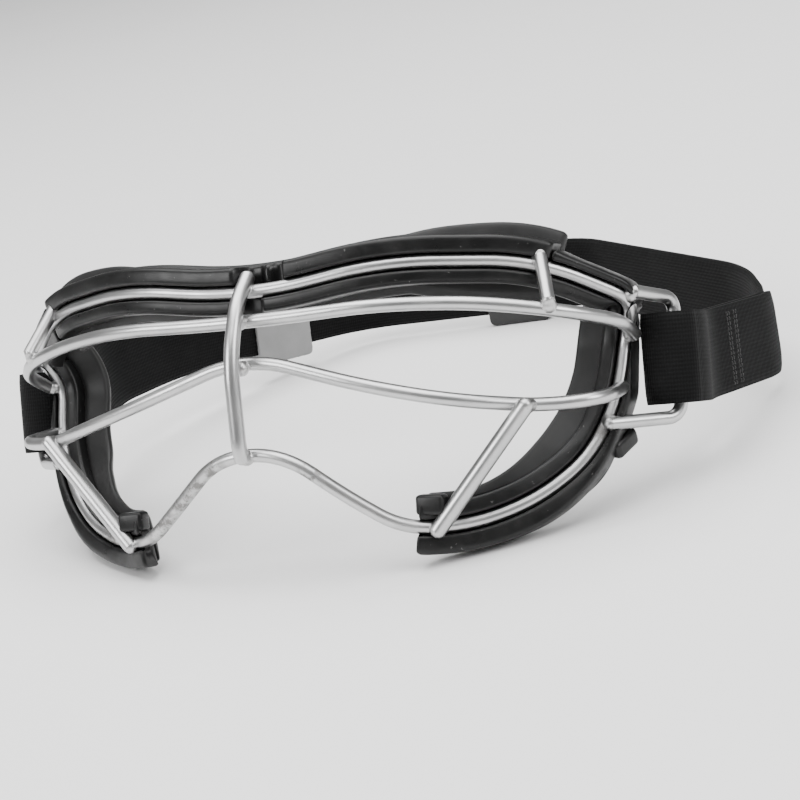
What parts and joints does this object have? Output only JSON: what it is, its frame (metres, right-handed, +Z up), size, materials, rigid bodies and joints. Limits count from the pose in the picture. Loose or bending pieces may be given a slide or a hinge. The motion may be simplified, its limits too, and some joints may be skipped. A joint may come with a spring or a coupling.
{
  "type": "sports protective goggles",
  "caption": "Wire-cage sports eye guard with rubber brow and cheek pads and an elastic head strap on side loops.",
  "frame": {"origin": "middle of the bottom of the bounding box, on the surface that the goggles lie on", "axes": "+Z up from that surface, -Y out of the front of the cage, +Y towards the back of the strap, +X across the face"},
  "size_m": [0.1825, 0.1752, 0.0687],
  "materials": {
    "cage_steel": "satin stainless wire with light wear",
    "pad_rubber": "semi-gloss moulded rubber, slightly dusty",
    "cushion_rubber": "smooth soft rubber",
    "strap_webbing": "flat black elastic webbing",
    "strap_thread": "black sewing thread",
    "slider_black": "black moulded plastic",
    "slider_grey": "light grey moulded plastic"
  },
  "bodies": {
    "frame": {"brow_cushion": "cushion_rubber", "brow_pad": "pad_rubber", "brow_wire": "cage_steel", "centre_bar": "cage_steel", "cheek_cushion_left": "cushion_rubber", "cheek_cushion_right": "cushion_rubber", "cheek_pad_left": "pad_rubber", "cheek_pad_right": "pad_rubber", "lower_eye_bar": "cage_steel", "lower_rim_wire": "cage_steel", "lower_strut_left": "cage_steel", "lower_strut_right": "cage_steel", "strap_loop_left": "cage_steel", "strap_loop_right": "cage_steel", "top_strut_left": "cage_steel", "top_strut_right": "cage_steel", "upper_eye_bar": "cage_steel", "weld_beads": "cage_steel"},
    "strap": {"strap_band": "strap_webbing", "strap_stitching": "strap_thread"},
    "back_slider": {"back_slider": "slider_black"},
    "side_slider": {"side_slider": "slider_grey"}
  },
  "joints": [
    {"name": "strap_tilt", "type": "hinge", "parent": "frame", "child": "strap", "pos_m": [-0.00216, -0.03675, 0.02724], "axis": [1, 0, 0], "range_deg": [-6, 6]},
    {"name": "back_slider_slide", "type": "slide", "parent": "strap", "child": "back_slider", "axis": [-0.9949, -0.0995, 0.0185], "range_m": [-0.0015, 0.016]},
    {"name": "side_slider_slide", "type": "slide", "parent": "strap", "child": "side_slider", "axis": [-0.5216, -0.8414, 0.1414], "range_m": [-0.005, 0.004]}
  ]
}
